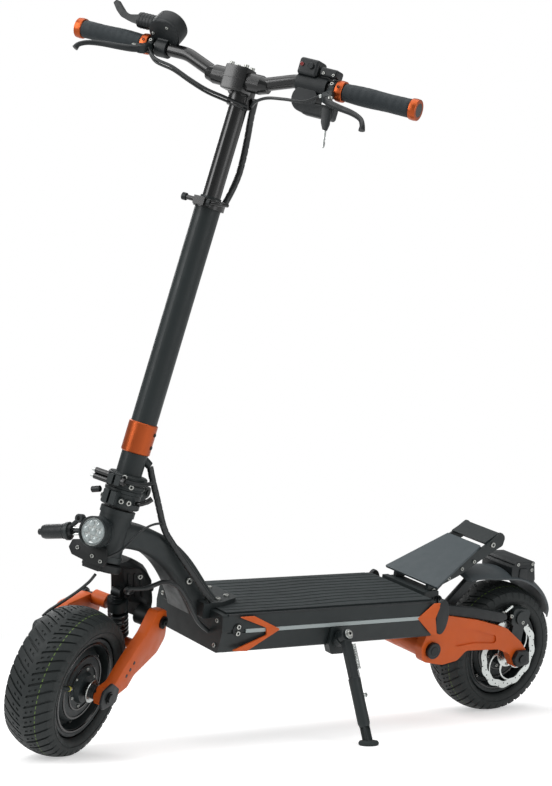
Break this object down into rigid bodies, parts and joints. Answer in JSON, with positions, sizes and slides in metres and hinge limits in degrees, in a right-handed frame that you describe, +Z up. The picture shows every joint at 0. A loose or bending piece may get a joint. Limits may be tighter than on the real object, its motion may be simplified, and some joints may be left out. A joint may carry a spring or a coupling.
{
  "type": "off-road electric scooter",
  "caption": "Standing electric scooter parked on its side stand: wide tyres, orange arms, flat deck, rear footrest and folding, height-adjustable handlebar.",
  "frame": {"origin": "centre of the parked scooter's footprint box, on the ground", "axes": "+X forward, +Y to the scooter's left, where the stand is, +Z up; the scooter leans 12.7 degrees to +Y on its stand"},
  "size_m": [1.2274, 0.638, 1.2659],
  "materials": {
    "black_paint": "satin",
    "gloss_black": "gloss",
    "orange_paint": "satin",
    "grey_plate": "brushed anodised",
    "mat_rubber": "matt",
    "battery": "matt",
    "light_strip": "frosted",
    "bare_steel": "brushed",
    "dark_steel": "satin",
    "cast_black": "cast, satin",
    "tyre": "matt",
    "lens_clear": "clear",
    "lens_red": "gloss",
    "grip_rubber": "matt",
    "orange_anodised": "anodised",
    "black_plastic": "matt",
    "cable_sleeve": "spiral wrapped"
  },
  "bodies": {
    "frame": {"deck_shell": "black_paint", "deck_caps": "cast_black", "battery_pack": "battery", "deck_mat": "mat_rubber", "light_bars": "light_strip", "front_chevrons": "orange_paint", "rear_chevrons": "orange_paint", "neck": "cast_black", "rear_mount": "cast_black", "rear_swingarm": "orange_paint", "rear_pivot": "dark_steel", "rear_shock": "dark_steel", "rear_axle": "dark_steel", "rear_caliper": "cast_black", "rear_fender": "black_plastic", "tail_box": "black_plastic", "tail_lens": "lens_red", "footrest_plate": "grey_plate", "footrest_bracket": "black_paint", "stand_bracket": "black_paint", "rear_brake_hose": "cable_sleeve", "harness_deck_run": "cable_sleeve", "motor_cable": "cable_sleeve", "lamp_cable": "cable_sleeve"},
    "fork": {"fork_yoke": "cast_black", "front_arms": "orange_paint", "front_pivots": "dark_steel", "front_shock": "dark_steel", "front_axle": "dark_steel", "front_caliper": "cast_black", "lamp_bracket": "black_paint", "headlamp": "black_paint", "headlamp_lens": "lens_clear", "steering_damper": "gloss_black", "fold_base": "cast_black", "front_brake_hose": "cable_sleeve"},
    "stem": {"fold_head": "cast_black", "stem_tube": "black_paint", "stem_collar": "orange_anodised", "height_clamp": "gloss_black", "harness_stem_run": "cable_sleeve"},
    "bar": {"slider_tube": "gloss_black", "bar_clamp": "gloss_black", "handlebar": "gloss_black", "grips": "grip_rubber", "grip_rings": "orange_anodised", "brake_levers": "gloss_black", "display_unit": "black_plastic", "switch_unit": "black_plastic", "key": "bare_steel", "harness_bar_run": "cable_sleeve"},
    "front_wheel": {"front_tyre": "tyre", "front_hub": "cast_black", "front_disc": "bare_steel"},
    "rear_wheel": {"rear_tyre": "tyre", "rear_hub": "cast_black", "rear_disc": "bare_steel"},
    "stand": {"stand_leg": "cast_black", "stand_spring": "bare_steel"}
  },
  "joints": [
    {"name": "steering", "type": "hinge", "parent": "frame", "child": "fork", "pos_m": [0.48776, -0.20326, 0.1255], "axis": [-0.1957, 0.2156, 0.9567], "range_deg": [-77, 23], "deforming": ["harness_deck_run", "motor_cable", "lamp_cable"]},
    {"name": "stem_fold", "type": "hinge", "parent": "fork", "child": "stem", "pos_m": [0.38444, -0.15151, 0.44392], "axis": [0.4453, -0.8497, 0.2825], "range_deg": [0, 80], "deforming": ["harness_stem_run"]},
    {"name": "stem_height", "type": "slide", "parent": "stem", "child": "bar", "axis": [0.1957, -0.2156, -0.9567], "range_m": [0, 0.15], "deforming": ["harness_bar_run"]},
    {"name": "front_wheel_spin", "type": "hinge", "parent": "fork", "child": "front_wheel", "pos_m": [0.49065, -0.20167, 0.12573], "axis": [-0.4453, 0.8497, -0.2825], "continuous": true},
    {"name": "rear_wheel_spin", "type": "hinge", "parent": "frame", "child": "rear_wheel", "pos_m": [-0.47, -0.20311, 0.1264], "axis": [-0.0001, 0.9755, -0.2198], "continuous": true},
    {"name": "side_stand", "type": "hinge", "parent": "frame", "child": "stand", "pos_m": [0.00202, -0.06767, 0.18144], "axis": [0.0001, 0.9267, 0.3757], "range_deg": [0, 80], "deforming": ["stand_spring"]}
  ]
}
